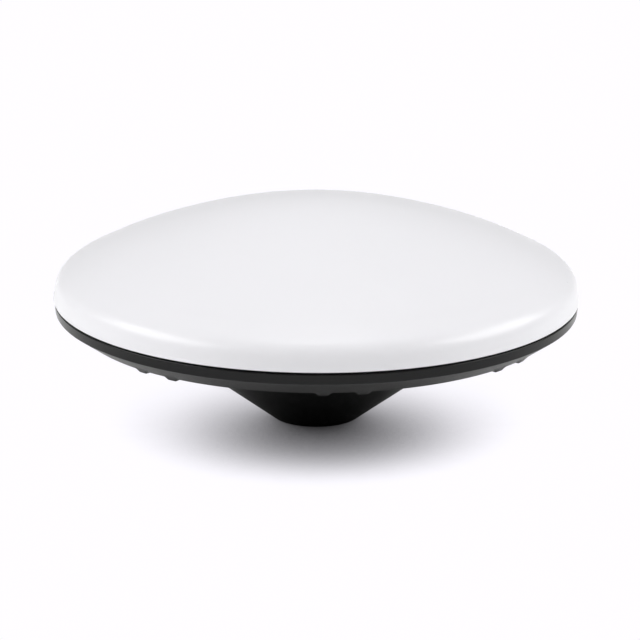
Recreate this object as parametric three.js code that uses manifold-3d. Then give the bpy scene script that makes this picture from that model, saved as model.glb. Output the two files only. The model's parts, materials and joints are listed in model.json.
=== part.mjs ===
// A survey-grade GNSS receiver head: a white radome on a black moulded base, with the antenna stack and
// the receiver board inside and a data and power socket at the back. Millimetres, +Z up. The origin is
// the antenna reference point: the centre of the neck's end face, where the head sits on its pole.
import * as THREE from "three";
import { mergeVertices } from "three/addons/utils/BufferGeometryUtils.js";
import Module from "manifold-3d";

const wasm = await Module();
wasm.setup();

// Driving dimensions
const RIM_RADIUS = 76;
const SEAM_Z = 37; // lower edge of the radome
const CROWN_RISE = 27.1; // top of the radome above its lower edge
const BAND_CORNER = { r: 75.5, z: 33.6 }; // where the upright band of the base turns into its bevel
const PLATE_CORNER = { r: 69.2, z: 29.2 }; // where the bevel meets the flat underside
const NECK_RADIUS = 12.4;
const CONE_SLOPE = 0.759; // rise of the funnel per millimetre of radius
const WALL = 2.4;
const SEGMENTS = 64;
const GAP = 0.3; // clearance left between pieces that fit into each other
const TOUCH = 0.1; // clearance left between faces that rest on each other

// Screws and ribs of the base, repeated every 45 degrees
const SCREW_COUNT = 8;
const SCREW_CIRCLE = 62.5;
const RIB_ANGLE = THREE.MathUtils.degToRad(4.45); // from a screw to each of its two ribs
const RIB_WIDTH = 2.9;
const RIB_HEIGHT = 0.85;
const RIB_END_DRAFT = 0.55; // radius lost per millimetre of rib height at the outer end
const SCREW_RECESS = { r: 3.3, depth: 2.5 };
const SCREW = { headRadius: 2.8, headHeight: 2.1, shankRadius: 1.5, shankLength: 12 };
const CLEARANCE_HOLE = 1.8;
const SOCKET_HOLE = 6.6;
const RADOME_POST = { r: 3.6, pilotDepth: 7 };
const SCREW_POST_RADIUS = 5.4;
const PILLAR_RADIUS = 4;

// The cable socket, square to the funnel's flank at the back
const SOCKET_RADIUS_ON_CONE = 42;
const SOCKET_Z = CONE_SLOPE * (SOCKET_RADIUS_ON_CONE - NECK_RADIUS);
const FLANK_ANGLE = Math.atan(CONE_SLOPE);
const SOCKET_BOSS = { r: 9.3, outer: 1.2, inner: -3.0 };
const SOCKET_TILT = FLANK_ANGLE - Math.PI; // about +X, turns +Z into the way out of the socket

// Antenna stack heights, from the ground plane up
const GROUND_Z = 41;
const GROUND_THICKNESS = 1.5;
const GROUND_RADIUS = 58;
const PILLAR_CIRCLE = 52;
const BOARD_Z = 35.5;
const BOARD_THICKNESS = 1.6;
const STANDOFF_CIRCLE = 33;
const PIN_CIRCLE = 13;

const COLOURS = {
  radome: [0xf3f3f5, 0.22, 0],
  housing: [0x2a2a2c, 0.5, 0],
  rubber: [0x141414, 0.8, 0],
  steel: [0xb9bbbd, 0.35, 1],
  nickel: [0xc9c4b8, 0.28, 1],
  gold: [0xd9a94a, 0.25, 1],
  ptfe: [0xf6f6f2, 0.5, 0],
  aluminium: [0xc8cacc, 0.4, 1],
  substrate: [0xe6dfc9, 0.6, 0],
  copper: [0xc77f4e, 0.35, 1],
  board: [0x1d5a38, 0.45, 0],
  nylon: [0xeeeade, 0.5, 0],
  jacket: [0x1c1c1e, 0.5, 0],
  label: [0xc9ccd0, 0.4, 0.3],
};

const turnOf = (index, count, offset = 0) => offset + (index * 2 * Math.PI) / count;
const screwAngle = (index) => turnOf(index, SCREW_COUNT);

// A closed body from a three.js geometry, with its faces pointing out.
function solid(geometry) {
  const bare = new THREE.BufferGeometry();
  bare.setAttribute("position", geometry.getAttribute("position"));
  bare.setIndex(geometry.index);
  const merged = mergeVertices(bare, 1e-4);
  const triVerts = new Uint32Array(merged.index.array);
  const vertProperties = merged.getAttribute("position").array;
  const made = new wasm.Manifold(new wasm.Mesh({ numProp: 3, vertProperties, triVerts }));
  if (made.volume() > 0) return made;
  for (let i = 0; i < triVerts.length; i += 3) {
    [triVerts[i + 1], triVerts[i + 2]] = [triVerts[i + 2], triVerts[i + 1]];
  }
  return new wasm.Manifold(new wasm.Mesh({ numProp: 3, vertProperties, triVerts }));
}

// A body turned about +Z from a closed outline of [radius, height] points.
function turned(outline, segments = SEGMENTS) {
  const points = [...outline, outline[0]].map(([r, z]) => new THREE.Vector2(Math.max(r, 0), z));
  return solid(new THREE.LatheGeometry(points, segments).rotateX(Math.PI / 2));
}

// A straight round rod or tube between two heights on +Z.
function rod(radius, low, high, segments = 24) {
  return turned([[0, low], [radius, low], [radius, high], [0, high]], segments);
}

function tube(inner, outer, low, high, segments = 24) {
  return turned([[inner, low], [outer, low], [outer, high], [inner, high]], segments);
}

// The corners of a regular outline about [x, y].
function ring(radius, sides, [x, y] = [0, 0]) {
  return Array.from({ length: sides }, (_, i) => {
    const a = turnOf(i, sides);
    return new THREE.Vector2(x + radius * Math.cos(a), y + radius * Math.sin(a));
  });
}

const disc = (radius, sides = 48) => new THREE.Shape(ring(radius, sides));
const hexagon = (acrossFlats) => new THREE.Shape(ring(acrossFlats / Math.sqrt(3), 6));

// A flat plate with round holes, each [x, y, radius], between two heights.
function plate(shape, holes, low, high, holeSides = 12) {
  for (const [x, y, radius] of holes) {
    shape.holes.push(new THREE.Path(ring(radius, holeSides, [x, y])));
  }
  const options = { depth: high - low, bevelEnabled: false, curveSegments: 6 };
  return solid(new THREE.ExtrudeGeometry(shape, options).translate(0, 0, low));
}

function block(size, centre) {
  return solid(new THREE.BoxGeometry(...size).translate(...centre));
}

const degrees = THREE.MathUtils.radToDeg;
const spin = (body, angle) => body.rotate([0, 0, degrees(angle)]);
const around = (radius, angle) => [radius * Math.cos(angle), radius * Math.sin(angle)];

function fourAround(radius, first) {
  return Array.from({ length: 4 }, (_, i) => around(radius, turnOf(i, 4, first)));
}

// The geometry of a finished body, for a mesh.
function geometryOf(body) {
  const { numProp, numVert, vertProperties, triVerts } = body.getMesh();
  const positions = new Float32Array(numVert * 3);
  for (let i = 0; i < numVert; i += 1) {
    positions.set(vertProperties.subarray(i * numProp, i * numProp + 3), i * 3);
  }
  const geometry = new THREE.BufferGeometry();
  geometry.setAttribute("position", new THREE.BufferAttribute(positions, 3));
  geometry.setIndex(new THREE.BufferAttribute(new Uint32Array(triVerts), 1));
  geometry.computeVertexNormals();
  return geometry;
}

const receiver = new THREE.Group();

function group(z) {
  const made = new THREE.Group();
  made.position.z = z;
  receiver.add(made);
  return made;
}

function add(parent, name, body, colour, [x, y, z] = [0, 0, 0]) {
  const [color, roughness, metalness] = COLOURS[colour];
  const material = new THREE.MeshStandardMaterial({ color, roughness, metalness });
  const mesh = new THREE.Mesh(geometryOf(body), material);
  mesh.name = name;
  mesh.position.set(x, y, z);
  parent.add(mesh);
  return mesh;
}

// ---- Radome -------------------------------------------------------------------------------------

const SHOULDER = { r: 66, z: SEAM_Z + 10.9, fall: THREE.MathUtils.degToRad(27.7) };

// The crown and the shoulder of the radome, shrunk by an inset for the inner skin.
function domeOutline(inset, crownPoints, shoulderPoints) {
  const { r, z, fall } = SHOULDER;
  const along = [Math.cos(fall), -Math.sin(fall)];
  const top = SEAM_Z + CROWN_RISE - inset;
  const join = [r - inset * Math.sin(fall), z - inset * Math.cos(fall)];
  const edge = RIM_RADIUS - inset;
  const crown = new THREE.CubicBezierCurve(
    new THREE.Vector2(0, top),
    new THREE.Vector2(25.3, top),
    new THREE.Vector2(join[0] - 11.6 * along[0], join[1] - 11.6 * along[1]),
    new THREE.Vector2(...join),
  );
  const shoulder = new THREE.CubicBezierCurve(
    new THREE.Vector2(...join),
    new THREE.Vector2(join[0] + 7.5 * along[0], join[1] + 7.5 * along[1]),
    new THREE.Vector2(edge, SEAM_Z + 7.4),
    new THREE.Vector2(edge, SEAM_Z),
  );
  const points = [...crown.getPoints(crownPoints), ...shoulder.getPoints(shoulderPoints).slice(1)];
  return points.map((p) => [p.x, p.y]);
}

const TONGUE = { inner: 70.4, outer: 72.6, low: 35.3 }; // ring that centres the radome in the base
const POST_FOOT = SEAM_Z - 0.2;

function makeRadome() {
  const outer = domeOutline(0, 8, 5);
  const inner = domeOutline(WALL, 4, 3).filter(([r, z]) => z > SEAM_Z + 3).reverse();
  const lip = [
    [TONGUE.outer, SEAM_Z],
    [TONGUE.outer, TONGUE.low],
    [TONGUE.inner, TONGUE.low],
    [TONGUE.inner, SEAM_Z + 2],
  ];
  let radome = turned([...outer, ...lip, ...inner]);
  const middle = domeOutline(WALL / 2, 6, 5);
  const envelope = turned([...middle, [middle.at(-1)[0], POST_FOOT], [0, POST_FOOT]]);
  for (let i = 0; i < SCREW_COUNT; i += 1) {
    const at = [...around(SCREW_CIRCLE, screwAngle(i)), 0];
    const post = rod(RADOME_POST.r, POST_FOOT, SEAM_Z + CROWN_RISE, 12).translate(at);
    const pilot = rod(CLEARANCE_HOLE, SEAM_Z - 1, SEAM_Z + RADOME_POST.pilotDepth, 10).translate(at);
    radome = radome.add(post.intersect(envelope)).subtract(pilot);
  }
  return radome;
}

add(receiver, "radome", makeRadome(), "radome");

// ---- Rim seal -----------------------------------------------------------------------------------

const BASE_TOP = SEAM_Z - 0.6;
add(receiver, "rim_seal", tube(73.2, 75.3, BASE_TOP + 0.05, SEAM_Z - 0.05, SEGMENTS), "rubber");

// ---- Base housing -------------------------------------------------------------------------------

const coneRadius = (z) => NECK_RADIUS + z / CONE_SLOPE;
const innerConeRadius = (z) => coneRadius(z) - WALL / Math.sin(FLANK_ANGLE);
const FLOOR_Z = PLATE_CORNER.z + WALL; // inner face of the flat underside
const HUB = { bore: 10.6, r: 15, top: 15.2 }; // plastic boss that holds the pole thread
const RIM_LEDGE = { r: 73, z: 34.9 }; // step inside the rim, round the radome's ring
const FLOOR_RADIUS = 67.2;

// Moves a body made about the socket's own axis to its place on the housing.
function atSocket(body) {
  return body.rotate([degrees(SOCKET_TILT), 0, 0]).translate([0, SOCKET_RADIUS_ON_CONE, SOCKET_Z]);
}

function makeBase() {
  const outline = [
    [HUB.bore, 0],
    [NECK_RADIUS - 0.7, 0],
    [NECK_RADIUS, 0.5],
    [coneRadius(PLATE_CORNER.z), PLATE_CORNER.z],
    [PLATE_CORNER.r, PLATE_CORNER.z],
    [BAND_CORNER.r, BAND_CORNER.z],
    [RIM_RADIUS - 0.2, BASE_TOP - 0.3],
    [RIM_RADIUS - 0.5, BASE_TOP],
    [RIM_LEDGE.r, BASE_TOP],
    [RIM_LEDGE.r, RIM_LEDGE.z],
    [FLOOR_RADIUS, FLOOR_Z],
    [innerConeRadius(FLOOR_Z), FLOOR_Z],
    [HUB.r, CONE_SLOPE * (HUB.r - NECK_RADIUS) + WALL / Math.cos(FLANK_ANGLE)],
    [HUB.r, HUB.top],
    [HUB.bore, HUB.top],
  ];
  let base = turned(outline);

  // Two low ribs beside each screw, their outer ends leaning in from the foot of the bevel.
  const ribLow = PLATE_CORNER.z - RIB_HEIGHT;
  const limit = turned([
    [0, ribLow - 1],
    [PLATE_CORNER.r - (RIB_HEIGHT + 1) * RIB_END_DRAFT, ribLow - 1],
    [PLATE_CORNER.r, PLATE_CORNER.z],
    [BAND_CORNER.r, BAND_CORNER.z],
    [0, BAND_CORNER.z],
  ]);
  const ribStart = coneRadius(ribLow) - 2;
  for (let i = 0; i < SCREW_COUNT; i += 1) {
    for (const side of [-1, 1]) {
      const length = RIM_RADIUS - ribStart;
      const middle = [ribStart + length / 2, 0, PLATE_CORNER.z + 0.2];
      const rib = block([length, RIB_WIDTH, 2 * (RIB_HEIGHT + 0.2)], middle);
      base = base.add(spin(rib, screwAngle(i) + side * RIB_ANGLE).intersect(limit));
    }
  }

  // Screw posts inside, with a recess for each head underneath.
  for (let i = 0; i < SCREW_COUNT; i += 1) {
    const at = [...around(SCREW_CIRCLE, screwAngle(i)), 0];
    const below = ribLow - 1;
    const recessTop = PLATE_CORNER.z + SCREW_RECESS.depth;
    base = base.add(rod(SCREW_POST_RADIUS, PLATE_CORNER.z + 1, BASE_TOP, 14).translate(at));
    base = base.subtract(rod(SCREW_RECESS.r, below, recessTop, 16).translate(at));
    base = base.subtract(rod(CLEARANCE_HOLE, below, BASE_TOP + 1, 10).translate(at));
  }

  // Pillars that carry the ground plane.
  for (const place of fourAround(PILLAR_CIRCLE, Math.PI / 8)) {
    const at = [...place, 0];
    base = base.add(rod(PILLAR_RADIUS, PLATE_CORNER.z + 1, GROUND_Z - TOUCH, 12).translate(at));
    base = base.subtract(rod(CLEARANCE_HOLE, FLOOR_Z + 1.7, GROUND_Z + 1, 10).translate(at));
  }

  // Flat boss and hole for the cable socket.
  const { r, outer, inner } = SOCKET_BOSS;
  base = base.add(atSocket(rod(r, inner, outer, 24)));
  return base.subtract(atSocket(rod(SOCKET_HOLE, inner - 3, outer + 1, 24)));
}

add(receiver, "base_housing", makeBase(), "housing");

// ---- Pole thread --------------------------------------------------------------------------------

const THREAD = { minorRadius: 6.8, mouthRadius: 8.3, depth: 16 }; // 5/8 inch, 11 turns per inch

function makeInsert() {
  const flangeLow = HUB.top + GAP;
  return turned([
    [THREAD.mouthRadius, 0],
    [HUB.bore - 0.4, 0],
    [HUB.bore - 0.4, flangeLow],
    [13.5, flangeLow],
    [13.5, flangeLow + 3],
    [0, flangeLow + 3],
    [0, THREAD.depth],
    [THREAD.minorRadius, THREAD.depth],
    [THREAD.minorRadius, THREAD.mouthRadius - THREAD.minorRadius],
  ], 32);
}

add(receiver, "pole_thread_insert", makeInsert(), "steel");

// ---- Housing screws -----------------------------------------------------------------------------

const KEY = { acrossFlats: 2.5, depth: 1.2 }; // socket in every screw head

// A pan-head screw whose seat is at z = 0 and whose head points down.
function panScrew({ headRadius, headHeight, shankRadius, shankLength }) {
  const edge = 0.7;
  const body = turned([
    [0, -headHeight],
    [headRadius - edge, -headHeight],
    [headRadius, -headHeight + edge],
    [headRadius, 0],
    [shankRadius, 0],
    [shankRadius, shankLength],
    [0, shankLength],
  ], 12);
  return body.subtract(plate(hexagon(KEY.acrossFlats), [], -headHeight - 1, -headHeight + KEY.depth));
}

for (let i = 0; i < SCREW_COUNT; i += 1) {
  const seat = PLATE_CORNER.z + SCREW_RECESS.depth - TOUCH;
  const at = around(SCREW_CIRCLE, screwAngle(i));
  add(receiver, `housing_screw_${i + 1}`, panScrew(SCREW), "steel", [...at, seat]);
}

// ---- Data and power socket at the back, with its dust cap ------------------------------------------

const socket = group(SOCKET_Z);
socket.position.y = SOCKET_RADIUS_ON_CONE;
socket.rotation.x = SOCKET_TILT;

const SHELL = { r: 6, bore: 4.5, low: -7.5, high: 11.5 };
const FLANGE = { low: 1.8, high: 3.5, r: 8.2 };
const CONTACT = { r: 0.45, circle: 2.4, low: -8.5, high: 9.5 };
const INSULATOR = { low: -7.2, high: 5.5 };
const SEAL = { inner: 6.9, outer: 8.6 };
const WASHER = { inner: 6.35, outer: 8.8, thickness: 0.8 };
const NUT = { acrossFlats: 16, height: 2.8 };
const CAP = { r: 7.8, edge: 0.6, top: 13.3 };
const FIT = 0.35; // clearance of the nut and the dust cap round the shell

function makeShell() {
  return turned([
    [SHELL.bore, SHELL.low],
    [SHELL.r, SHELL.low],
    [SHELL.r, FLANGE.low],
    [FLANGE.r, FLANGE.low],
    [FLANGE.r, FLANGE.high],
    [SHELL.r, FLANGE.high],
    [SHELL.r, SHELL.high],
    [SHELL.bore, SHELL.high],
  ], 24);
}

const contactPlaces = [[0, 0], ...fourAround(CONTACT.circle, 0)];
const contactHoles = contactPlaces.map((at) => [...at, CONTACT.r + 0.15]);
const washerTop = SOCKET_BOSS.inner - TOUCH;
const nutTop = washerTop - WASHER.thickness - TOUCH;
const nutHole = [0, 0, SHELL.r + FIT];
const nut = plate(hexagon(NUT.acrossFlats), [nutHole], nutTop - NUT.height, nutTop, 24);

add(socket, "socket_shell", makeShell(), "nickel");
const core = disc(SHELL.bore - 0.2, 24);
add(socket, "socket_insulator", plate(core, contactHoles, INSULATOR.low, INSULATOR.high, 8), "ptfe");
contactPlaces.forEach((at, i) => {
  add(socket, `socket_contact_${i + 1}`, rod(CONTACT.r, CONTACT.low, CONTACT.high, 8), "gold", [...at, 0]);
});
const seal = tube(SEAL.inner, SEAL.outer, SOCKET_BOSS.outer + 0.05, FLANGE.low - 0.05);
add(socket, "socket_seal", seal, "rubber");
const washer = tube(WASHER.inner, WASHER.outer, washerTop - WASHER.thickness, washerTop);
add(socket, "socket_washer", washer, "steel");
add(socket, "socket_nut", nut, "nickel");

function makeDustCap() {
  const bore = SHELL.r + FIT;
  return turned([
    [bore, FLANGE.high + GAP],
    [CAP.r, FLANGE.high + GAP],
    [CAP.r, CAP.top - CAP.edge],
    [CAP.r - CAP.edge, CAP.top],
    [0, CAP.top],
    [0, SHELL.high + GAP],
    [bore, SHELL.high + GAP],
  ], 24);
}

add(socket, "dust_cap", makeDustCap(), "rubber");

// ---- Antenna stack ------------------------------------------------------------------------------

const pinPlaces = fourAround(PIN_CIRCLE, Math.PI / 4);
const pillarPlaces = fourAround(PILLAR_CIRCLE, Math.PI / 8);
const standoffPlaces = fourAround(STANDOFF_CIRCLE, Math.PI / 4);
const pinHoles = pinPlaces.map((at) => [...at, 1.1]);
const pillarHoles = pillarPlaces.map((at) => [...at, CLEARANCE_HOLE]);
const standoffHoles = standoffPlaces.map((at) => [...at, CLEARANCE_HOLE]);
const centreHole = [0, 0, CLEARANCE_HOLE];

const STACK = [
  { name: "lower_patch_substrate", r: 44, thickness: 5, colour: "substrate" },
  { name: "lower_patch_plate", r: 38, thickness: 0.3, colour: "copper" },
  { name: "upper_patch_substrate", r: 30, thickness: 4, colour: "substrate" },
  { name: "upper_patch_plate", r: 25, thickness: 0.3, colour: "copper" },
];

const antenna = group(GROUND_Z);
const groundHoles = [centreHole, ...pinHoles, ...pillarHoles];
add(antenna, "ground_plane", plate(disc(GROUND_RADIUS), groundHoles, 0, GROUND_THICKNESS), "aluminium");

let stackTop = GROUND_THICKNESS;
for (const { name, r, thickness, colour } of STACK) {
  const low = stackTop + 0.05;
  stackTop = low + thickness;
  add(antenna, name, plate(disc(r), [centreHole, ...pinHoles], low, stackTop), colour);
}

// A screw turned over, with its head on top.
const faceDown = (body) => body.rotate([180, 0, 0]);
const patchScrew = { headRadius: 3, headHeight: 1.9, shankRadius: 1.5, shankLength: stackTop + 2.6 };
add(antenna, "patch_screw", faceDown(panScrew(patchScrew)), "nylon", [0, 0, stackTop + TOUCH]);
add(antenna, "patch_nut", plate(hexagon(5.5), [centreHole], -2.3, -TOUCH), "nylon");

const pinLow = BOARD_Z - 0.8 - GROUND_Z;
pinPlaces.forEach((at, i) => {
  add(antenna, `feed_pin_${i + 1}`, rod(0.65, pinLow, stackTop + 0.6, 10), "gold", [...at, 0]);
});

pillarPlaces.forEach((at, i) => {
  const screw = faceDown(panScrew({ ...SCREW, shankLength: 8 }));
  add(antenna, `ground_screw_${i + 1}`, screw, "steel", [...at, GROUND_THICKNESS + TOUCH]);
});

// ---- Receiver board -----------------------------------------------------------------------------

const board = group(BOARD_Z);
const underBoard = -TOUCH;
const outline = plate(disc(38), [...pinHoles, ...standoffHoles], 0, BOARD_THICKNESS);
add(board, "receiver_board", outline, "board");

standoffPlaces.forEach((at, i) => {
  const high = GROUND_Z - BOARD_Z - TOUCH;
  const standoff = plate(hexagon(5.5), [centreHole], BOARD_THICKNESS + TOUCH, high);
  add(board, `standoff_${i + 1}`, standoff, "nickel", [...at, 0]);
  const screw = panScrew({ ...SCREW, shankLength: 4.6 });
  add(board, `board_screw_${i + 1}`, screw, "steel", [...at, underBoard]);
});

// A thin box under the board, open towards it.
function shieldCan(width, length, height) {
  const sheet = 0.4;
  const hollow = [width - 2 * sheet, length - 2 * sheet, height];
  const can = block([width, length, height], [0, 0, -height / 2]);
  return can.subtract(block(hollow, [0, 0, sheet - height / 2]));
}

add(board, "amplifier_shield", shieldCan(26, 26, 3.6), "nickel", [0, 0, underBoard]);
add(board, "receiver_shield", shieldCan(22, 17, 3), "nickel", [0, -25.5, underBoard]);

// ---- Lead from the board to the socket ------------------------------------------------------------

const HEADER = { x: -25, y: 3, width: 5, length: 9.5, height: 2.6 };
const PLUG_HEIGHT = 3.2;
const plugTop = underBoard - HEADER.height - TOUCH;
const header = block([HEADER.width, HEADER.length, HEADER.height], [0, 0, -HEADER.height / 2]);
const plug = block([HEADER.width - 0.6, HEADER.length - 0.8, PLUG_HEIGHT], [0, 0, -PLUG_HEIGHT / 2]);
add(board, "board_header", header, "ptfe", [HEADER.x, HEADER.y, underBoard]);
add(board, "lead_plug", plug, "ptfe", [HEADER.x, HEADER.y, plugTop]);

const LEAD_RADIUS = 1.3;

// The lead's middle line leaves the back of the socket, bends under the board and ends below the plug.
function makeLead() {
  const outOfSocket = new THREE.Vector3(0, Math.sin(FLANK_ANGLE), -Math.cos(FLANK_ANGLE));
  const start = new THREE.Vector3(0, SOCKET_RADIUS_ON_CONE, SOCKET_Z);
  start.addScaledVector(outOfSocket, CONTACT.low - GAP);
  const end = new THREE.Vector3(HEADER.x, HEADER.y, BOARD_Z + plugTop - PLUG_HEIGHT - GAP);
  const route = new THREE.CatmullRomCurve3([
    start,
    start.clone().addScaledVector(outOfSocket, -1.8),
    new THREE.Vector3(-2.5, 33.2, 31.9),
    new THREE.Vector3(-8, 29.5, 30.8),
    new THREE.Vector3(-15, 23.5, 27.8),
    new THREE.Vector3(-20.5, 15, 25),
    new THREE.Vector3(-23.8, 7.5, 23.6),
    end.clone().add(new THREE.Vector3(0, 0.6, -3.4)),
    end,
  ]);
  return solid(new THREE.ExtrudeGeometry(disc(LEAD_RADIUS, 8), { steps: 28, extrudePath: route }));
}

add(receiver, "internal_lead", makeLead(), "jacket");

// ---- Blank identification label on the underside ----------------------------------------------------

const LABEL = { inner: 53.5, outer: 65.5, halfAngle: 14 };

// It lies halfway between two screws.
function makeLabel() {
  const half = THREE.MathUtils.degToRad(LABEL.halfAngle);
  const middle = (screwAngle(2) + screwAngle(3)) / 2;
  const shape = new THREE.Shape();
  shape.absarc(0, 0, LABEL.outer, middle - half, middle + half, false);
  shape.absarc(0, 0, LABEL.inner, middle + half, middle - half, true);
  return plate(shape, [], -0.25, -0.05);
}

add(receiver, "blank_label", makeLabel(), "label", [0, 0, PLATE_CORNER.z]);

export default receiver;
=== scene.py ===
"""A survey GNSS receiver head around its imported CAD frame: camera, studio, surfaces and materials.

Lengths in the constants and outlines are millimetres, and MM turns them into metres.
"""

import json
import math

import bmesh
import bpy
import numpy as np
from mathutils import Matrix, Vector


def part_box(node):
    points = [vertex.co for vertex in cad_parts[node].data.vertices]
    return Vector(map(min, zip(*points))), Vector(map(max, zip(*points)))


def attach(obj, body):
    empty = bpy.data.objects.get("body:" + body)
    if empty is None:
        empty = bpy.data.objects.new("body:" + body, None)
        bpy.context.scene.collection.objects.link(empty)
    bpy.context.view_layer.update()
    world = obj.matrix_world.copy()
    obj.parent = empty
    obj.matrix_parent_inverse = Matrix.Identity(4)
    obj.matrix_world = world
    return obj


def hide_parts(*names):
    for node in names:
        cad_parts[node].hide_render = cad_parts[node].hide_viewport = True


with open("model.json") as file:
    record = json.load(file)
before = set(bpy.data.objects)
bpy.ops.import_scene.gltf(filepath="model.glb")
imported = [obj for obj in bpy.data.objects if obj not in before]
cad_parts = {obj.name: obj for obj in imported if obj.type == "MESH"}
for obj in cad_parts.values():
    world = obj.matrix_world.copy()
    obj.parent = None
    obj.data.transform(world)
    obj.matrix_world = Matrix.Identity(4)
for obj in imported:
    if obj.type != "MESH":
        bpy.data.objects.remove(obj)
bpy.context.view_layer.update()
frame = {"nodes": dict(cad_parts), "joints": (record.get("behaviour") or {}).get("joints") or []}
NODES = frame["nodes"]
HEAD, CAP = "receiver_head", "dust_cap"
MM = 0.001


def low(node):
    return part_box(node)[0] / MM


def high(node):
    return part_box(node)[1] / MM


# Sizes read from the frame
RIM_R = high("radome").x
CROWN_Z = high("radome").z
TONGUE_Z = low("radome").z
SEAL_GAP = 0.05
SEAM_Z = high("rim_seal").z + SEAL_GAP
BASE_TOP = low("rim_seal").z - SEAL_GAP
PLATE_Z = high("blank_label").z + SEAL_GAP
SCREW_CIRCLE = (low("housing_screw_1").x + high("housing_screw_1").x) / 2

# Sizes of the base housing that its box doesn't show
NECK_R = 12.4
CONE_SLOPE = 0.759
BAND_CORNER = (75.5, 33.6)
PLATE_EDGE_R = 69.2
WALL = 2.4
RIM_LEDGE = (73, 34.9)
FLOOR_EDGE_R = 67.2
HUB_BORE = 10.6
HUB_R = 15.0
HUB_TOP = 15.2
CONE_TOP_R = NECK_R + PLATE_Z / CONE_SLOPE
BEVEL_SLOPE = (BAND_CORNER[1] - PLATE_Z) / (BAND_CORNER[0] - PLATE_EDGE_R)

SCREW_COUNT = 8
RIB_ANGLE = math.radians(4.45)
RIB_HEIGHT = 0.85
RIB_END_DRAFT = 0.55  # radius lost per millimetre of rib height at the outer end
RIB_FADE = 0.6  # height above the underside at which a rib's end runs out into the bevel

# Bosses, holes and fasteners
TOUCH = 0.1
CLEARANCE_R = 1.8
PILOT_R = 1.4
PILOT_FLOOR = 33
SEAT_DEPTH = 2.5
SCREW_POST_R = 5.4
RADOME_POST_R = 3.6
PILLAR_CIRCLE = 52
PILLAR_R = 4
RECESS_R = 3.3
BOSS_R = 9.3
SOCKET_HOLE_R = 6.6
THREAD_STEP = 0.08  # height of one row of a threaded wall


# ---- Meshes --------------------------------------------------------------------------------------


def fillet(corners, steps=6):
    """An outline of (r, z) points from (r, z, radius) corners, with each corner's radius as an arc."""
    points = []
    for i, corner in enumerate(corners):
        here = Vector(corner[:2])
        before = Vector(corners[i - 1][:2])
        after = Vector(corners[(i + 1) % len(corners)][:2])
        radius = corner[2] if len(corner) > 2 else 0
        back, on = (before - here).normalized(), (after - here).normalized()
        half = back.angle(on) / 2
        if radius <= 0 or half > math.radians(89):
            points.append((here.x, here.y))
            continue
        centre = here + (back + on).normalized() * radius / math.sin(half)
        start = here + back * radius / math.tan(half) - centre
        end = here + on * radius / math.tan(half) - centre
        sweep = start.angle(end)
        for k in range(steps + 1):
            t = k / steps
            arm = (start * math.sin((1 - t) * sweep) + end * math.sin(t * sweep)) / math.sin(sweep)
            points.append((centre.x + arm.x, centre.y + arm.y))
    return points


def densify(outline, longest):
    """The closed outline with every edge longer than `longest` split evenly."""
    points = []
    for a, b in zip(outline, outline[1:] + outline[:1]):
        a, b = Vector(a), Vector(b)
        count = max(1, math.ceil((b - a).length / longest))
        points += [tuple(a.lerp(b, k / count)) for k in range(count)]
    return points


def revolve(name, outline, segments=96, warp=None):
    """A closed mesh turned about +Z from a closed outline in millimetres.

    warp(r, z, angle) moves every point: it takes and returns arrays of the same shape.
    """
    angles = np.arange(segments) * 2 * math.pi / segments
    r, z = (np.array(c, float)[:, None] for c in zip(*outline))
    r, z, a = np.broadcast_arrays(r, z, angles[None, :])
    if warp:
        r, z, a = warp(r, z, a)
    return lathe_mesh(name, r, z, a)


def lathe_mesh(name, r, z, a):
    """Closes a grid of points, one row for each outline point and one column for each angle, into a mesh."""
    rows, columns = r.shape
    co = np.stack([r * np.cos(a), r * np.sin(a), z], -1).reshape(-1, 3) * MM
    faces = []
    for i in range(rows):
        j = (i + 1) % rows
        if (r[i] < 1e-6).all() and (r[j] < 1e-6).all():
            continue
        for k in range(columns):
            m = (k + 1) % columns
            faces.append((i * columns + k, i * columns + m, j * columns + m, j * columns + k))
    return made(name, co, faces)


def made(name, co, faces):
    """An object from points in metres and faces, merged, with its normals out."""
    mesh = bpy.data.meshes.new(name)
    mesh.from_pydata([tuple(c) for c in co], [], faces)
    bm = bmesh.new()
    bm.from_mesh(mesh)
    bmesh.ops.remove_doubles(bm, verts=bm.verts, dist=1e-7)
    bmesh.ops.dissolve_degenerate(bm, edges=bm.edges, dist=1e-8)
    bmesh.ops.recalc_face_normals(bm, faces=bm.faces)
    bm.to_mesh(mesh)
    bm.free()
    obj = bpy.data.objects.new(name, mesh)
    bpy.context.scene.collection.objects.link(obj)
    return obj


def copies(tool, places):
    """One object holding the tool's mesh at each (x, y, z) in millimetres. The tool is used up."""
    bm = bmesh.new()
    for place in places:
        part = tool.data.copy()
        part.transform(Matrix.Translation(Vector(place) * MM))
        bm.from_mesh(part)
        bpy.data.meshes.remove(part)
    bm.to_mesh(tool.data)
    bm.free()
    return tool


def combine(obj, tool, operation):
    """Joins the tool to the object, or cuts it away, and deletes the tool."""
    modifier = obj.modifiers.new("combine", "BOOLEAN")
    modifier.object = tool
    modifier.operation = operation
    modifier.solver = "MANIFOLD"
    bpy.context.view_layer.update()
    evaluated = obj.evaluated_get(bpy.context.evaluated_depsgraph_get())
    mesh = bpy.data.meshes.new_from_object(evaluated)
    obj.modifiers.clear()
    obj.data = mesh
    bpy.data.objects.remove(tool)
    return obj


def join(obj, tool):
    return combine(obj, tool, "UNION")


def cut(obj, tool):
    return combine(obj, tool, "DIFFERENCE")


def finished(obj, material, node, body=HEAD, angle=32):
    """Shades the piece, gives it its material and ties it to the frame."""
    mesh = obj.data
    mesh.materials.clear()
    mesh.materials.append(material)
    mesh.shade_smooth()
    mesh.set_sharp_from_angle(angle=math.radians(angle))
    weighted = obj.modifiers.new("weighted normals", "WEIGHTED_NORMAL")
    weighted.keep_sharp = True
    weighted.weight = 100
    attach(obj, body)
    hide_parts(node)
    return obj


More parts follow.
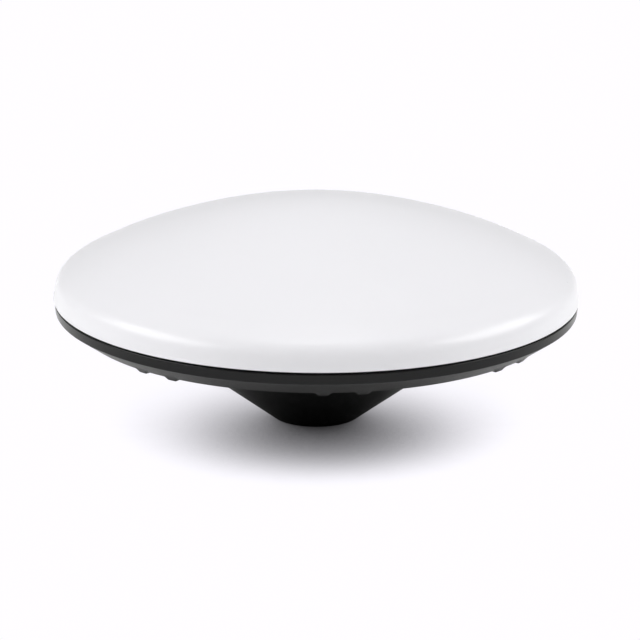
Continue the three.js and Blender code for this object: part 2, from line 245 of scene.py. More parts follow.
def ring(radius, count, first=0.0, z=0.0):
    """Points on a circle, in millimetres."""
    angles = [first + 2 * math.pi * i / count for i in range(count)]
    return [(radius * math.cos(a), radius * math.sin(a), z) for a in angles]


def rod_outline(radius, bottom, top, edge=0.0):
    return fillet([(0, bottom), (radius, bottom, edge), (radius, top, edge), (0, top)], 4)


def thread(major, minor, pitch, start, end, run_out=1.0):
    """A warp that lays a right-handed V thread over the walls between two heights."""

    def warp(r, z, a):
        phase = (z / pitch - a / (2 * math.pi)) % 1.0
        tooth = np.clip(1.25 - 2.5 * np.abs(2 * phase - 1), 0, 1)
        fade = np.clip((z - start) / run_out, 0, 1) * np.clip((end - z) / run_out, 0, 1)
        on_wall = (np.abs(r - major) < 0.02) | (np.abs(r - minor) < 0.02)
        threaded = on_wall & (z > start) & (z < end)
        depth = (major - minor) * tooth * fade
        outward = np.abs(r - major) < 0.02
        shaped = np.where(outward, r - depth, r + depth)
        return np.where(threaded, shaped, r), z, a

    return warp


# ---- Materials -----------------------------------------------------------------------------------


class Nodes:
    """A material's node tree, with short ways to add to it."""

    def __init__(self, name, roughness, metallic=0.0, **sockets):
        self.material = bpy.data.materials.new(name)
        self.material.use_nodes = True
        self.tree = self.material.node_tree
        self.shader = self.tree.nodes["Principled BSDF"]
        self.shader.inputs["Roughness"].default_value = roughness
        self.shader.inputs["Metallic"].default_value = metallic
        for name, value in sockets.items():
            self.shader.inputs[name.replace("_", " ")].default_value = value
        self.place = self.add("ShaderNodeTexCoord").outputs["Object"]

    def add(self, kind, **values):
        node = self.tree.nodes.new(kind)
        for name, value in values.items():
            setattr(node, name, value)
        return node

    def link(self, source, target):
        self.tree.links.new(source, target)

    def noise(self, size_mm, detail=3.0, roughness=0.5, stretch=(1, 1, 1)):
        """Noise whose features are about size_mm across."""
        mapping = self.add("ShaderNodeMapping")
        mapping.inputs["Scale"].default_value = stretch
        self.link(self.place, mapping.inputs["Vector"])
        noise = self.add("ShaderNodeTexNoise")
        noise.inputs["Scale"].default_value = 1 / (size_mm * MM)
        noise.inputs["Detail"].default_value = detail
        noise.inputs["Roughness"].default_value = roughness
        self.link(mapping.outputs["Vector"], noise.inputs["Vector"])
        return noise.outputs["Fac"]

    def remap(self, source, lowest, highest, start=0.3, end=0.7):
        node = self.add("ShaderNodeMapRange")
        for name, value in (("From Min", start), ("From Max", end), ("To Min", lowest), ("To Max", highest)):
            node.inputs[name].default_value = value
        self.link(source, node.inputs["Value"])
        return node.outputs["Result"]

    def mix(self, factor, a, b):
        node = self.add("ShaderNodeMix", data_type="RGBA")
        for socket, value in ((node.inputs["A"], a), (node.inputs["B"], b)):
            if isinstance(value, tuple):
                socket.default_value = (*value, 1)
            else:
                self.link(value, socket)
        self.link(factor, node.inputs["Factor"])
        return node.outputs["Result"]

    def bump(self, height, distance_mm, strength=1.0, under=None):
        node = self.add("ShaderNodeBump")
        node.inputs["Distance"].default_value = distance_mm * MM
        node.inputs["Strength"].default_value = strength
        self.link(height, node.inputs["Height"])
        if under:
            self.link(under, node.inputs["Normal"])
        return node.outputs["Normal"]

    def surface(self, colour=None, roughness=None, normal=None):
        for name, source in (("Base Color", colour), ("Roughness", roughness), ("Normal", normal)):
            if source:
                self.link(source, self.shader.inputs[name])
        return self.material


def radome_plastic():
    """Smooth white weatherproof plastic, with the faintest ripple of a large moulding."""
    n = Nodes("radome plastic", roughness=0.28, IOR=1.49)
    tone = n.mix(n.remap(n.noise(35), 0, 1, 0.2, 0.8), (0.846, 0.841, 0.869), (0.858, 0.852, 0.881))
    fine = n.mix(n.remap(n.noise(0.35, 2), 0, 0.08), tone, (0.8, 0.795, 0.82))
    gloss = n.remap(n.noise(16, 2), 0.27, 0.3, 0.15, 0.85)
    ripple = n.bump(n.noise(22, 0), 0.012, 0.25)
    return n.surface(fine, gloss, n.bump(n.noise(0.6, 2), 0.004, 0.3, ripple))


def moulded_black():
    """Black glass-filled moulding with a fine spark-eroded grain."""
    n = Nodes("moulded black", roughness=0.28, IOR=1.34)
    tone = n.mix(n.remap(n.noise(12), 0, 1), (0.0028, 0.0028, 0.003), (0.0045, 0.0045, 0.005))
    specks = n.mix(n.remap(n.noise(0.25, 2), 0, 1, 0.45, 0.75), tone, (0.0048, 0.0048, 0.0052))
    gloss = n.remap(n.noise(2.5, 2), 0.19, 0.23, 0.2, 0.8)
    grain = n.bump(n.noise(0.22, 3, 0.6), 0.002, 0.1)
    return n.surface(specks, gloss, grain)


def black_rubber(name="black rubber", size=0.5):
    """Soft matt rubber with a dusty bloom."""
    n = Nodes(name, roughness=0.75, IOR=1.4)
    tone = n.mix(n.remap(n.noise(4), 0, 1), (0.005, 0.005, 0.005), (0.009, 0.009, 0.0095))
    gloss = n.remap(n.noise(1.2, 4), 0.62, 0.85)
    return n.surface(tone, gloss, n.bump(n.noise(size, 4, 0.6), 0.02, 0.5))


def metal(name, light, dark, roughness, grain_mm=0.12, stretch=(1, 1, 12)):
    """Machined metal with fine tool marks that run round the axis and a slightly uneven polish."""
    n = Nodes(name, roughness=roughness, metallic=1.0)
    tone = n.mix(n.remap(n.noise(2.5, 4), 0, 1), light, dark)
    marks = n.noise(grain_mm, 3, 0.6, stretch)
    gloss = n.remap(n.noise(0.9, 4), roughness - 0.07, roughness + 0.1)
    return n.surface(tone, gloss, n.bump(marks, 0.006, 0.5))


def moulded_pale(name, light, dark, roughness=0.45, speck_mm=0.4):
    """Pale insulating plastic or laminate, with a cloudy body and a slight skin texture."""
    n = Nodes(name, roughness=roughness, IOR=1.5)
    tone = n.mix(n.remap(n.noise(3, 4), 0, 1), light, dark)
    gloss = n.remap(n.noise(1.5, 3), roughness - 0.06, roughness + 0.08)
    return n.surface(tone, gloss, n.bump(n.noise(speck_mm, 3), 0.008, 0.4))


def circuit_board():
    """Green solder mask with the faint print of copper under it."""
    n = Nodes("circuit board", roughness=0.35, IOR=1.5)
    copper = n.add("ShaderNodeTexBrick")
    copper.inputs["Scale"].default_value = 420
    copper.inputs["Mortar Size"].default_value = 0.03
    copper.inputs["Color1"].default_value = (0.012, 0.10, 0.045, 1)
    copper.inputs["Color2"].default_value = (0.016, 0.13, 0.06, 1)
    copper.inputs["Mortar"].default_value = (0.008, 0.06, 0.03, 1)
    n.link(n.place, copper.inputs["Vector"])
    tone = n.mix(n.remap(n.noise(6), 0, 0.5), copper.outputs["Color"], (0.01, 0.09, 0.04))
    gloss = n.remap(n.noise(2, 3), 0.28, 0.42)
    return n.surface(tone, gloss, n.bump(copper.outputs["Fac"], 0.03, 0.4))


RADOME = radome_plastic()
HOUSING = moulded_black()
RUBBER = black_rubber()
JACKET = black_rubber("lead jacket", 0.3)
STEEL = metal("stainless steel", (0.62, 0.61, 0.6), (0.5, 0.49, 0.48), 0.3)
NICKEL = metal("nickel plate", (0.66, 0.63, 0.57), (0.55, 0.52, 0.46), 0.26)
GOLD = metal("gold plate", (0.9, 0.62, 0.22), (0.78, 0.5, 0.16), 0.24)
SHEET = metal("aluminium sheet", (0.78, 0.79, 0.8), (0.66, 0.67, 0.69), 0.36, 0.2, (1, 14, 1))
COPPER = metal("copper foil", (0.86, 0.45, 0.28), (0.7, 0.33, 0.2), 0.34, 0.2, (9, 1, 1))
LABEL = metal("label foil", (0.72, 0.74, 0.76), (0.62, 0.64, 0.66), 0.42, 0.15, (1, 16, 1))
LAMINATE = moulded_pale("antenna laminate", (0.8, 0.75, 0.6), (0.7, 0.65, 0.5), 0.55, 0.25)
INSULATOR = moulded_pale("insulator plastic", (0.78, 0.77, 0.72), (0.7, 0.69, 0.64))
NYLON = moulded_pale("nylon", (0.86, 0.83, 0.74), (0.78, 0.75, 0.66), 0.5)
BOARD = circuit_board()


# ---- Radome --------------------------------------------------------------------------------------


def curve(points, count):
    """Points along a cubic Bezier curve, its last point left out."""
    t = np.linspace(0, 1, count, endpoint=False)[:, None]
    a, b, c, d = (np.array(p, float) for p in points)
    return (1 - t) ** 3 * a + 3 * t * (1 - t) ** 2 * b + 3 * t * t * (1 - t) * c + t**3 * d


LIP = 0.25  # how far the radome's lower edge flares out
LIP_TOP = 1.3
TONGUE = (70.4, 72.6)
SEAL = (73.2, 75.3)


def dome(inset=0.0, crown=60, shoulder=40):
    """The radome's skin from the crown to its lower edge, shrunk by an inset."""
    join_r, join_z, fall = 66.0, SEAM_Z + 10.9, math.radians(27.7)
    along = np.array([math.cos(fall), -math.sin(fall)])
    joint = np.array([join_r - inset * math.sin(fall), join_z - inset * math.cos(fall)])
    top, edge = CROWN_Z - inset, RIM_R - LIP - inset
    first = curve([(0, top), (25.3, top), joint - 11.6 * along, joint], crown)
    second = curve([joint, joint + 7.5 * along, (edge, SEAM_Z + 7.4), (edge, SEAM_Z)], shoulder)
    return [tuple(p) for p in np.concatenate([first, second])]


def make_radome():
    outer = [p for p in dome() if p[1] > SEAM_Z + LIP_TOP]
    tongue_in, tongue_out = TONGUE
    # The first corner only gives the second its direction
    lip = fillet([
        (RIM_R - LIP, SEAM_Z + LIP_TOP),
        (RIM_R - LIP, SEAM_Z + 0.95, 1.2),
        (RIM_R, SEAM_Z + 0.3, 0.25),
        (RIM_R, SEAM_Z, 0.15),
        (tongue_out, SEAM_Z, 0.25),
        (tongue_out, TONGUE_Z, 0.3),
        (tongue_in, TONGUE_Z, 0.3),
        (tongue_in, SEAM_Z + 2),
    ], 8)[1:]
    inner = [p for p in dome(WALL, 24, 16) if p[1] > SEAM_Z + 4]
    shell = revolve("radome_shell", outer + lip + inner[::-1], 256)
    posts = copies(
        revolve("post", rod_outline(RADOME_POST_R, SEAM_Z - 0.2, SEAM_Z + 12), 32),
        ring(SCREW_CIRCLE, SCREW_COUNT),
    )
    wall_r, wall_z = zip(*dome(WALL / 2))
    for vertex in posts.data.vertices:
        if vertex.co.z > (SEAM_Z + 6) * MM:
            vertex.co.z = np.interp(vertex.co.xy.length / MM, wall_r, wall_z) * MM
    shell = join(shell, posts)
    pilot = revolve("pilot", rod_outline(PILOT_R, SEAM_Z - 1, SEAM_Z + 7, 0.2), 24)
    shell = cut(shell, copies(pilot, ring(SCREW_CIRCLE, SCREW_COUNT)))
    return finished(shell, RADOME, "radome")


def make_rim_seal():
    inner, outer = SEAL
    bottom, top = BASE_TOP + SEAL_GAP, SEAM_Z - SEAL_GAP
    outline = fillet([
        (inner, bottom, 0.15),
        (outer, bottom, 0.22),
        (outer, top, 0.22),
        (inner, top, 0.15),
    ])
    return finished(revolve("rim_gasket", outline, 256), RUBBER, "rim_seal")


# ---- Base housing --------------------------------------------------------------------------------


def smooth(t):
    t = np.clip(t, 0, 1)
    return t * t * (3 - 2 * t)


def rib_columns():
    """The angles at which the housing is cut into columns, each with its rib's depth.

    A column's angle at radius r is angle + offset / r, so that columns beside a rib run parallel to it.
    """
    foot, crest = 2.5, 1.1
    across = [-2.9, -foot, -2.3, -2.08, -1.85, -1.6, -1.35, -crest, -0.9, -0.5, 0]
    across += [-d for d in across[-2::-1]]
    angles, offsets, depths = [], [], []
    ribs = sorted(
        i * 2 * math.pi / SCREW_COUNT + side * RIB_ANGLE for i in range(SCREW_COUNT) for side in (-1, 1)
    )
    for here, after in zip(ribs, ribs[1:] + [ribs[0] + 2 * math.pi]):
        for d in across:
            angles.append(here)
            offsets.append(d)
            depths.append(RIB_HEIGHT * float(smooth((foot - abs(d)) / (foot - crest))))
        between = 5 if after - here < 0.3 else 26
        for k in range(1, between + 1):
            t = k / (between + 1)
            angles.append(here + t * (after - here))
            offsets.append(across[-1] * (1 - 2 * t))
            depths.append(0.0)
    return np.array(angles), np.array(offsets), np.array(depths)


def base_outline():
    floor = PLATE_Z + WALL
    flank = math.atan(CONE_SLOPE)
    inner_cone = NECK_R + floor / CONE_SLOPE - WALL / math.sin(flank)
    hub_foot = CONE_SLOPE * (HUB_R - NECK_R) + WALL / math.cos(flank)
    return densify(fillet([
        (HUB_BORE, 0, 0.15),
        (NECK_R + 0.25, 0, 0.9),
        (CONE_TOP_R, PLATE_Z, 2.5),
        (PLATE_EDGE_R, PLATE_Z, 0.35),
        (PLATE_EDGE_R + RIB_FADE / BEVEL_SLOPE, PLATE_Z + RIB_FADE),
        (*BAND_CORNER, 0.45),
        (RIM_R - 0.2, BASE_TOP, 0.3),
        (RIM_LEDGE[0], BASE_TOP, 0.15),
        (*RIM_LEDGE, 0.4),
        (FLOOR_EDGE_R, floor, 0.8),
        (inner_cone, floor, 2),
        (HUB_R, hub_foot, 1),
        (HUB_R, HUB_TOP, 0.3),
        (HUB_BORE, HUB_TOP, 0.2),
    ]), 3.0)


def socket_frame():
    """The matrix of the cable socket's own axes, from the dust cap's joint and the socket's box."""
    out = Vector(frame["joints"][0]["axis"]).normalized()
    side = Vector((1, 0, 0))
    turn = Matrix((side, out.cross(side), out)).transposed().to_4x4()
    lowest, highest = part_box("socket_contact_1")
    middle = (lowest + highest) / 2
    contact_middle = 0.5 * MM
    return Matrix.Translation(middle - out * contact_middle) @ turn


SOCKET = socket_frame()


def at_socket(obj):
    obj.data.transform(SOCKET)
    return obj


def make_base():
    angles, offsets, depths = rib_columns()
    r, z = (np.array(c, float)[:, None] for c in zip(*base_outline()))
    reach = np.clip(r, 46, 80)
    angle = angles[None, :] + offsets[None, :] / reach
    outside = z < PLATE_Z + 2
    under = outside & (r > CONE_TOP_R - 4) & (z > PLATE_Z - 3)
    share = np.clip((r - CONE_TOP_R + 1.5) / (PLATE_EDGE_R - CONE_TOP_R), 0, 1)
    level = 1 - smooth((z - PLATE_Z) / RIB_FADE)
    near = smooth((z - PLATE_Z + 1.6) / 1.6)
    depth = np.where(under, level * near, 0) * depths[None, :]
    slide = np.where(share > 0.5, -depth * RIB_END_DRAFT, -depth / CONE_SLOPE)
    blend = smooth(np.abs(share - 0.5) * 2 - 0.2)
    r = r + slide * np.where(under, blend, 0)
    z = z - depth
    r, z, angle = np.broadcast_arrays(r, z, angle)
    base = lathe_mesh("housing", r, z, angle)

    # Posts and pillars inside, and the flat boss of the socket
    post = revolve("post", rod_outline(SCREW_POST_R, PLATE_Z + 1, BASE_TOP, 0), 48)
    base = join(base, copies(post, ring(SCREW_CIRCLE, SCREW_COUNT)))
    pillar_top = low("ground_plane").z - TOUCH
    pillar = revolve("pillar", rod_outline(PILLAR_R, PLATE_Z + 1, pillar_top, 0), 32)
    pillars = ring(PILLAR_CIRCLE, 4, math.pi / 8)
    base = join(base, copies(pillar, pillars))
    boss_foot, boss_top = -3, 1.2
    boss = fillet([
        (0, boss_foot),
        (BOSS_R, boss_foot),
        (BOSS_R, -1),
        (BOSS_R + 0.8, -1),
        (BOSS_R, boss_top, 0.35),
        (0, boss_top),
    ], 5)
    base = join(base, at_socket(revolve("boss", boss, 96)))

    # Recesses and holes for the screws and the socket
    seat = PLATE_Z + SEAT_DEPTH
    mouth = [
        (0, PLATE_Z - 3),
        (RECESS_R + 0.5, PLATE_Z - 3),
        (RECESS_R + 0.25, PLATE_Z - 0.06),
        (RECESS_R, PLATE_Z + 0.25, 0.2),
        (RECESS_R - 0.05, seat, 0.25),
        (0, seat),
    ]
    recess = revolve("recess", fillet(mouth, 4), 64)
    base = cut(base, copies(recess, ring(SCREW_CIRCLE, SCREW_COUNT)))
    hole = revolve("hole", rod_outline(CLEARANCE_R, PLATE_Z - 2, SEAM_Z + 1, 0), 32)
    base = cut(base, copies(hole, ring(SCREW_CIRCLE, SCREW_COUNT)))
    pilot = revolve("pilot", rod_outline(PILOT_R, PILOT_FLOOR, pillar_top + 1, 0), 24)
    base = cut(base, copies(pilot, pillars))
    base = cut(base, at_socket(revolve("way", rod_outline(SOCKET_HOLE_R, -8, 4, 0), 64)))
    return finished(base, HOUSING, "base_housing")


# ---- Pole thread ---------------------------------------------------------------------------------

INCH_THREAD = {"major": 15.875 / 2, "minor": 6.8, "pitch": 25.4 / 11}


def make_insert():
    outer = HUB_BORE - 0.4
    flange = HUB_TOP + 0.3
    bore, major = INCH_THREAD["minor"], INCH_THREAD["major"]
    depth, mouth = 16.0, 8.3
    wall = [(bore, depth - k * 0.16) for k in range(1, 90)]
    outline = fillet([
        (mouth, 0, 0.15),
        (outer, 0, 0.25),
        (outer, flange, 0.2),
        (13.5, flange, 0.3),
        (13.5, flange + 3, 0.3),
        (0, flange + 3),
        (0, depth + 1.2),
        (bore - 0.4, depth, 0.2),
    ], 4)
    cone_top = mouth - bore
    outline += wall
    outline += [(mouth - cone_top * k / 8, cone_top * k / 8) for k in range(8, 0, -1)]

    def warp(r, z, a):
        r, z, a = thread(major, bore, INCH_THREAD["pitch"], 0.4, depth - 0.6, 0.8)(r, z, a)
        countersink = mouth - z
        inside = (r < major + 0.1) & (z < depth) & (z > 0.02) & (r > 2)
        return np.where(inside & (r < countersink), countersink, r), z, a

    insert = revolve("pole_insert", outline, 96, warp)
    return finished(insert, STEEL, "pole_thread_insert", angle=40)


# ---- Screws --------------------------------------------------------------------------------------


def hexagon(across, low_z, high_z, reach):
    """A warp that squares the walls within `reach` of the axis into a hexagon."""

    def warp(r, z, a):
        turn = (a + math.pi / 6) % (math.pi / 3) - math.pi / 6
        flat = across / 2 / np.cos(turn)
        inside = (np.abs(r - reach) < 0.01) & (z > low_z) & (z < high_z)
        return np.where(inside, flat, r), z, a

    return warp


def screw_mesh(name, head_r, head_h, shank_r, length, key):
    """A pan-head screw on +Z with its seat at zero and a hexagon recess in its head, which points down."""
    key_r, key_depth = key / 2 * 1.02, 1.2
    outline = fillet([
        (0, -head_h + key_depth),
        (key_r, -head_h + key_depth),
        (key_r, -head_h + 0.05),
        (key_r + 0.35, -head_h, 0.1),
        (head_r, -head_h, head_h * 0.45),
        (head_r, 0, 0.12),
        (shank_r, 0, 0.1),
    ], 5)
    rows = int((length - 0.8) / THREAD_STEP)
    outline += [(shank_r, 0.25 + k * THREAD_STEP) for k in range(rows)]
    outline += [(shank_r * 0.7, length - 0.05), (0, length)]

    def warp(r, z, a):
        r, z, a = hexagon(key, -head_h - 1, -head_h + key_depth + 0.01, key_r)(r, z, a)
        return thread(shank_r, shank_r - 0.27, 0.5, 0.3, length - 0.5, 0.4)(r, z, a)

    return revolve(name, outline, 48, warp)


def make_screws(names, seats, pieces, material, slot, turn_over=False, **sizes):
    """The same screw at several seats, sharing one mesh."""
    first = screw_mesh(pieces.format(1), **sizes)
    if turn_over:
        first.data.transform(Matrix.Rotation(math.pi, 4, "X"))
    for i, (name, seat) in enumerate(zip(names, seats), 1):
        piece = first
        if i > 1:
            piece = bpy.data.objects.new(pieces.format(i), first.data)
            bpy.context.scene.collection.objects.link(piece)
        piece.location = Vector(seat) * MM
        piece.rotation_euler.z = 0.7 * i
        finished(piece, material, name, angle=38)


def numbered(stem, count):
    return [f"{stem}_{i}" for i in range(1, count + 1)]


def middles(names, z):
    """Each node's middle in plan, at a height."""
    return [((low(n).x + high(n).x) / 2, (low(n).y + high(n).y) / 2, z) for n in names]


def make_all_screws():
    pan = {"head_r": 2.8, "head_h": 2.1, "shank_r": 1.5, "key": 2.5}
    names = numbered("housing_screw", SCREW_COUNT)
    seats = middles(names, PLATE_Z + SEAT_DEPTH - TOUCH)
    make_screws(names, seats, "base_screw_{}", STEEL, "steel", length=12, **pan)
    names = numbered("ground_screw", 4)
    seats = middles(names, high("ground_plane").z + TOUCH)
    make_screws(names, seats, "plane_screw_{}", STEEL, "steel", turn_over=True, length=8, **pan)
    names = numbered("board_screw", 4)
    seats = middles(names, low("receiver_board").z - TOUCH)
    make_screws(names, seats, "pcb_screw_{}", STEEL, "steel", length=4.6, **pan)
    top = high("upper_patch_plate").z + TOUCH
    length = top - low("patch_screw").z
    centre = {"head_r": 3, "head_h": 1.9, "shank_r": 1.5, "key": 2.5, "length": length}
    make_screws(["patch_screw"], [(0, 0, top)], "stack_screw_{}", NYLON, "nylon", turn_over=True, **centre)


# ---- Socket and dust cap -------------------------------------------------------------------------

SHELL = {"r": 6.0, "bore": 4.5, "low": -7.5, "high": 11.5}
FLANGE = {"low": 1.8, "high": 3.5, "r": 8.2}
SHELL_FIT_R = 6.35  # bore of the pieces that go over the shell
CONTACT = {"r": 0.45, "circle": 2.4, "low": -8.5, "high": 9.5}
CARRIER = {"r": 4.3, "low": -7.2, "high": 5.5}
GASKET = {"inner": 6.9, "outer": 8.6, "low": 1.25, "high": 1.75}
WASHER = {"mid": 7.6, "outer": 8.6, "low": -3.7, "high": -3.2}
NUT = {"flat_r": 8, "corner_r": 9.24, "low": -6.8, "high": -4.0}


def make_shell():
    barrel = SHELL["r"]
    front_rows = int((SHELL["high"] - FLANGE["high"] - 1.2) / THREAD_STEP)
    back_rows = int((FLANGE["low"] - SHELL["low"] - 1.6) / THREAD_STEP)
    front = [(barrel, FLANGE["high"] + 0.5 + k * THREAD_STEP) for k in range(front_rows)]
    back = [(barrel, SHELL["low"] + 0.8 + k * THREAD_STEP) for k in range(back_rows)]
    outline = fillet([
        (SHELL["bore"], SHELL["low"], 0.1),
        (barrel - 0.4, SHELL["low"], 0.1),
        (barrel, SHELL["low"] + 0.4, 0.1),
    ], 3)
    outline += back
    outline += fillet([
        (barrel, FLANGE["low"] - 0.5),
        (barrel, FLANGE["low"], 0.1),
        (FLANGE["r"], FLANGE["low"], 0.2),
        (FLANGE["r"], FLANGE["high"], 0.35),
        (barrel, FLANGE["high"], 0.1),
        (barrel, FLANGE["high"] + 0.3),
    ], 4)[:-1]
    outline += front
    outline += fillet([
        (barrel, SHELL["high"] - 0.6),
        (barrel - 0.55, SHELL["high"], 0.1),
        (SHELL["bore"] + 0.25, SHELL["high"], 0.1),
        (SHELL["bore"], SHELL["high"] - 0.3, 0.1),
    ], 3)

    def warp(r, z, a):
        pitch, root = 1.0, barrel - 0.58
        r, z, a = thread(barrel, root, pitch, FLANGE["high"] + 0.6, SHELL["high"] + 1, 0.8)(r, z, a)
        return thread(barrel, root, pitch, SHELL["low"] - 1, FLANGE["low"] - 0.8, 0.8)(r, z, a)

    shell = at_socket(revolve("port_shell", outline, 96, warp))
    return finished(shell, NICKEL, "socket_shell", angle=40)


def make_socket_parts():
    make_shell()
    places = [(0, 0, 0), *ring(CONTACT["circle"], 4)]
    bottom, top = CARRIER["low"], CARRIER["high"]
    face = fillet([(0, bottom), (CARRIER["r"], bottom, 0.2), (CARRIER["r"], top, 0.3), (0, top)], 4)
    carrier = revolve("port_insulator", face, 64)
    hole = revolve("hole", rod_outline(CONTACT["r"] + 0.15, -8, 7), 20)
    carrier = cut(carrier, copies(hole, places))
    finished(at_socket(carrier), INSULATOR, "socket_insulator")
    r, bottom, top = CONTACT["r"], CONTACT["low"], CONTACT["high"]
    pin_outline = fillet([(0, bottom), (r, bottom, 0.1), (r, top, 0.38), (0, top)], 6)
    for i, (x, y, _) in enumerate(places, 1):
        pin = revolve(f"port_contact_{i}", pin_outline, 24)
        pin.data.transform(Matrix.Translation(Vector((x, y, 0)) * MM))
        finished(at_socket(pin), GOLD, f"socket_contact_{i}")
    inner, outer, bottom, top = GASKET["inner"], GASKET["outer"], GASKET["low"], GASKET["high"]
    seal = fillet([(inner, bottom, 0.2), (outer, bottom, 0.22), (outer, top, 0.22), (inner, top, 0.2)], 4)
    finished(at_socket(revolve("port_seal", seal, 96)), RUBBER, "socket_seal")

    tooth_count = 14

    def teeth(r, z, a):
        rim = r > WASHER["outer"] - 0.6
        notch = 0.5 * (np.cos(a * tooth_count) > 0.55)
        twist = np.where(rim, 0.12 * np.sin(a * tooth_count), 0)
        return np.where(rim, r - notch, r), z + twist, a

    across = (SHELL_FIT_R, WASHER["mid"], WASHER["outer"])
    washer = [(r, WASHER["low"]) for r in across] + [(r, WASHER["high"]) for r in reversed(across)]
    finished(at_socket(revolve("port_washer", washer, 168, teeth)), STEEL, "socket_washer")

    def nut_shape(r, z, a):
        turn = (a + math.pi / 6) % (math.pi / 3) - math.pi / 6
        flat = NUT["flat_r"] / np.cos(turn)
        return np.where(r > 8.5, np.minimum(flat, r), r), z, a

    bottom, top, corner = NUT["low"], NUT["high"], NUT["corner_r"]
    nut = [
        (SHELL_FIT_R, bottom + 0.3),
        (6.6, bottom),
        (8.2, bottom),
        (corner, bottom + 0.45),
        (corner, top - 0.45),
        (8.2, top),
        (6.6, top),
        (SHELL_FIT_R, top - 0.3),
    ]
    finished(at_socket(revolve("port_nut", nut, 96, nut_shape)), NICKEL, "socket_nut")


def make_dust_cap():
    bore, outer = SHELL_FIT_R, 7.8
    flute_count = 18
    bottom, shelf, top = FLANGE["high"] + 0.3, SHELL["high"] + 0.3, 13.3
    outline = densify(fillet([
        (bore, bottom, 0.2),
        (outer, bottom, 0.3),
        (outer, bottom + 1.2, 0.1),
        (outer - 0.3, bottom + 1.5, 0.15),
        (outer - 0.3, top - 0.4, 0.8),
        (5.6, top, 0.3),
        (5.2, top - 0.35, 0.25),
        (0, top - 0.35),
        (0, shelf),
        (bore, shelf, 0.4),
    ], 5), 0.7)

    def flutes(r, z, a):
        wave = 0.5 + 0.5 * np.cos(a * flute_count)
        height = smooth((z - bottom - 1.6) / 0.6) * smooth((top - 0.5 - z) / 0.8)
        grip = 0.3 * (1 - smooth((wave - 0.15) / 0.35)) * height
        outside = r > outer - 0.45
        return np.where(outside, r - grip + 0.3 * height, r), z, a

    cap = at_socket(revolve("protective_cap", outline, 216, flutes))
    return finished(cap, RUBBER, "dust_cap", body=CAP, angle=45)


# ---- Label ---------------------------------------------------------------------------------------


def make_label():
    """A blank foil label, a ring's sector with rounded corners."""
    middle, half = math.radians(112.5), math.radians(14)
    inner, outer, corner = 53.5, 65.5, 1.6
    bottom, top = PLATE_Z - 0.25, PLATE_Z - 0.05
    rim = []
    for radius, side in ((outer, 1), (inner, -1)):
        steps = np.linspace(-1, 1, 33) * side
        for t in steps:
            into_corner = max(0, (abs(t) * half * radius - (half * radius - corner)) / corner)
            pull = corner * (1 - math.sqrt(max(0, 1 - into_corner**2)))
            rim.append((radius - side * pull, middle + t * half))
    co = [(r * math.cos(a) * MM, r * math.sin(a) * MM, z * MM) for z in (bottom, top) for r, a in rim]
    count = len(rim)
    faces = [tuple(range(count)), tuple(range(count, 2 * count))]
    faces += [(i, (i + 1) % count, count + (i + 1) % count, count + i) for i in range(count)]
    return finished(made("foil_label", co, faces), LABEL, "blank_label")


make_radome()
make_rim_seal()
make_base()
make_insert()
make_all_screws()
make_socket_parts()
make_dust_cap()
make_label()

# ---- Inner pieces that keep their CAD shape --------------------------------------------------------

KEPT = {
    "ground_plane": SHEET,
    "lower_patch_substrate": LAMINATE,
    "lower_patch_plate": COPPER,
    "upper_patch_substrate": LAMINATE,
    "upper_patch_plate": COPPER,
    "patch_nut": NYLON,
    "receiver_board": BOARD,
    "amplifier_shield": NICKEL,
    "receiver_shield": NICKEL,
    "board_header": INSULATOR,
    "lead_plug": INSULATOR,
    "internal_lead": JACKET,
}
KEPT.update({name: GOLD for name in numbered("feed_pin", 4)})
KEPT.update({name: NICKEL for name in numbered("standoff", 4)})
for name, material in KEPT.items():
    NODES[name].data.materials.clear()
    NODES[name].data.materials.append(material)


# ---- Camera --------------------------------------------------------------------------------------


def make_camera():
    """The camera looks at the middle of the seam, from a little left of the front."""
    distance, elevation, azimuth = 0.760, math.radians(16.2), math.radians(-6.1)
    target = Vector((0, 0, SEAM_Z * MM))
    away = Vector((
        math.sin(azimuth) * math.cos(elevation),
        -math.cos(azimuth) * math.cos(elevation),
        math.sin(elevation),
    ))
    data = bpy.data.cameras.new("camera")
    data.lens = 147.2
    data.shift_x = 0.0056
    data.shift_y = -0.0433
    data.clip_end = 30
    camera = bpy.data.objects.new("camera", data)
    bpy.context.scene.collection.objects.link(camera)
    tilt = Matrix.Rotation(math.radians(0.283), 4, "Z")
    turn = (-away).to_track_quat("-Z", "Y").to_matrix().to_4x4()
    camera.matrix_world = Matrix.Translation(target + away * distance) @ turn @ tilt
    bpy.context.scene.camera = camera


# ---- Studio --------------------------------------------------------------------------------------

PALE = (1, 0.985, 1.04)
FLOOR_SIZE = 12  # metres, as all lengths below
BACKDROP_SIDES = 64


def plane(name, size, z):
    half = size / 2
    corners = [(-half, -half, z), (half, -half, z), (half, half, z), (-half, half, z)]
    mesh = bpy.data.meshes.new(name)
    mesh.from_pydata(corners, [], [(0, 1, 2, 3)])
    obj = bpy.data.objects.new(name, mesh)
    bpy.context.scene.collection.objects.link(obj)
    return obj


def bare_material(name):
    """A material with only its output node, and its node tree."""
    material = bpy.data.materials.new(name)
    material.use_nodes = True
    tree = material.node_tree
    tree.nodes.remove(tree.nodes["Principled BSDF"])
    return material, tree


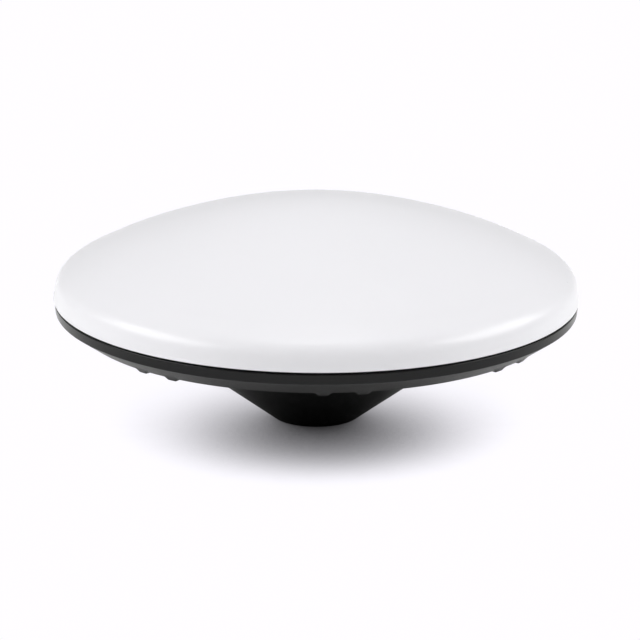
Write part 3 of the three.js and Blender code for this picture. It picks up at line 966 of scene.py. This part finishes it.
def shaded(name, kind, tone):
    """A plain surface with a painted soft shadow close to the object's foot: ambient occlusion darkens its
    colour.

    The painted shadow leans forward, as under a light that hangs a little behind the object.
    """
    reach, lean, darkest, clear = 0.031, math.radians(40), 0.04, 0.86
    material, tree = bare_material(name)
    up = tree.nodes.new("ShaderNodeCombineXYZ")
    up.inputs["Y"].default_value = math.sin(lean)
    up.inputs["Z"].default_value = math.cos(lean)
    shade = tree.nodes.new("ShaderNodeAmbientOcclusion")
    shade.samples = 32
    shade.inputs["Distance"].default_value = reach
    tree.links.new(up.outputs["Vector"], shade.inputs["Normal"])
    ramp = tree.nodes.new("ShaderNodeMapRange")
    ramp.interpolation_type = "SMOOTHSTEP"
    ramp.inputs["From Min"].default_value = darkest
    ramp.inputs["From Max"].default_value = clear
    tree.links.new(shade.outputs["AO"], ramp.inputs["Value"])
    colour = tree.nodes.new("ShaderNodeVectorMath")
    colour.operation = "SCALE"
    colour.inputs[0].default_value = tone
    tree.links.new(ramp.outputs["Result"], colour.inputs["Scale"])
    surface = tree.nodes.new(kind)
    tree.links.new(colour.outputs["Vector"], surface.inputs["Color"])
    tree.links.new(surface.outputs[0], tree.nodes["Material Output"].inputs["Surface"])
    return material


def backdrop(name, radius, height, tone):
    """An evenly lit round wall, so that low views don't show where the floor ends."""
    low_ring = ring(radius, BACKDROP_SIDES)
    high_ring = ring(radius, BACKDROP_SIDES, z=height)
    steps = range(BACKDROP_SIDES)
    after = [(i + 1) % BACKDROP_SIDES for i in steps]
    walls = [(i, after[i], after[i] + BACKDROP_SIDES, i + BACKDROP_SIDES) for i in steps]
    mesh = bpy.data.meshes.new(name)
    mesh.from_pydata(low_ring + high_ring, [], walls)
    material, tree = bare_material(name)
    glow = tree.nodes.new("ShaderNodeEmission")
    glow.inputs["Color"].default_value = (*tone, 1)
    tree.links.new(glow.outputs[0], tree.nodes["Material Output"].inputs["Surface"])
    mesh.materials.append(material)
    obj = bpy.data.objects.new(name, mesh)
    bpy.context.scene.collection.objects.link(obj)
    return obj


def area_light(name, place, aim, size, power):
    data = bpy.data.lights.new(name, "AREA")
    data.shape = "RECTANGLE"
    data.size, data.size_y = size
    data.energy = power
    light = bpy.data.objects.new(name, data)
    light.location = place
    light.rotation_euler = (Vector(aim) - Vector(place)).to_track_quat("-Z", "Y").to_euler()
    bpy.context.scene.collection.objects.link(light)
    return light


def make_studio():
    # The camera sees an overexposed floor, which glows, with a painted shadow near the object's foot. The
    # table just under it lights the object and is reflected; its colour carries the same painted shadow.
    floor = plane("floor", FLOOR_SIZE, 0)
    floor.data.materials.append(shaded("pale floor", "ShaderNodeEmission", PALE))
    wall = backdrop("backdrop", 5.9, 8, PALE)
    for stage in (floor, wall):
        for ray in ("diffuse", "glossy", "transmission", "shadow"):
            setattr(stage, f"visible_{ray}", False)
    table = plane("table", FLOOR_SIZE, -0.0004)
    table.data.materials.append(shaded("white table", "ShaderNodeBsdfDiffuse", (0.9, 0.9, 0.9)))
    table.visible_camera = False
    table.visible_shadow = False

    world = bpy.data.worlds.new("studio")
    world.use_nodes = True
    background = world.node_tree.nodes["Background"]
    background.inputs["Color"].default_value = (1, 1, 1, 1)
    background.inputs["Strength"].default_value = 0.44
    bpy.context.scene.world = world

    area_light("overhead", (0, 0, 1.3), (0, 0, 0.04), (0.6, 0.6), 2)
    area_light("left box", (-1.06, -0.09, 0.75), (0, 0, 0.04), (1.1, 0.6), 8.7)
    area_light("right box", (1.06, -0.09, 0.75), (0, 0, 0.04), (1.1, 0.6), 8.7)
    bpy.context.scene.view_settings.view_transform = "Standard"


make_camera()
make_studio()
